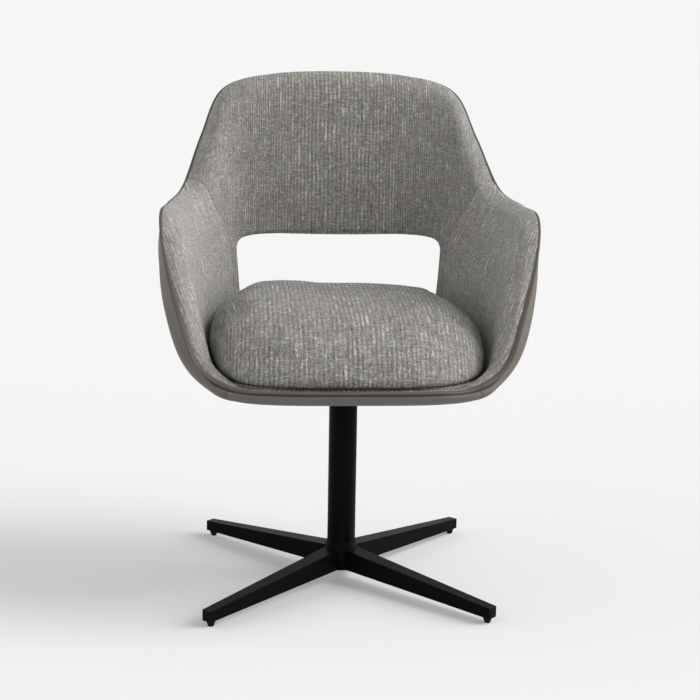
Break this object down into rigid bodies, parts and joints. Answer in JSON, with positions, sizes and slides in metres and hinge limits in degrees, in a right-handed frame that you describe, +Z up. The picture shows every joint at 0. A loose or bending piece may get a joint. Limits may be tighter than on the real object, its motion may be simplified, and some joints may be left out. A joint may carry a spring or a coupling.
{
  "type": "swivel armchair",
  "caption": "Upholstered bucket armchair with an opening in the backrest, swivelling on a round column over a four-star base of tapered tube legs.",
  "frame": {"origin": "floor level under the axis of the column", "axes": "+Z up along the swivel axis, -Y towards the front of the chair, +X to the side that lies on the right when the chair is seen from the front"},
  "size_m": [0.627, 0.5284, 0.8609],
  "materials": {
    "black_steel": "satin black powder coat",
    "zinc_steel": "zinc plated",
    "black_plastic": "fine matt black moulding",
    "glide_plastic": "smooth black moulding",
    "bush_plastic": "natural white acetal",
    "plywood": "raw moulded beech plywood",
    "cover_sheet": "black non-woven sheet",
    "shell_fabric": "warm grey melange weave with light and dark slubs",
    "cushion_fabric": "warm grey melange weave with light and dark slubs",
    "cover_leather": "smooth matt taupe grey leatherette",
    "welt_leather": "smooth matt taupe grey leatherette strip"
  },
  "bodies": {
    "base": {"hub": "black_steel", "hub_plug": "black_plastic", "column": "black_steel", "upper_bush": "bush_plastic", "lower_bush": "bush_plastic", "thrust_washer": "zinc_steel", "leg_front_left": "black_steel", "leg_front_right": "black_steel", "leg_back_left": "black_steel", "leg_back_right": "black_steel", "end_cap_front_left": "black_plastic", "end_cap_front_right": "black_plastic", "end_cap_back_left": "black_plastic", "end_cap_back_right": "black_plastic", "glide_front_left": "glide_plastic", "glide_front_right": "glide_plastic", "glide_back_left": "glide_plastic", "glide_back_right": "glide_plastic"},
    "seat": {"spindle": "black_steel", "spindle_washer": "zinc_steel", "spindle_clip": "zinc_steel", "mounting_plate": "black_steel", "plate_bolts": "zinc_steel", "tee_nuts": "zinc_steel", "seat_board": "plywood", "dust_cover": "cover_sheet", "front_rail": "plywood", "side_panel_left": "plywood", "side_panel_right": "plywood", "back_panel": "plywood", "deck_pad": "shell_fabric", "front_pad": "shell_fabric", "arm_pad_left": "shell_fabric", "arm_pad_right": "shell_fabric", "back_pad": "shell_fabric", "front_cover": "cover_leather", "side_cover_left": "cover_leather", "side_cover_right": "cover_leather", "back_cover": "cover_leather", "edge_welt": "welt_leather", "seat_cushion": "cushion_fabric"}
  },
  "joints": [
    {"name": "seat_swivel", "type": "hinge", "parent": "base", "child": "seat", "pos_m": [0, 0, 0.3], "axis": [0, 0, 1], "continuous": true}
  ]
}
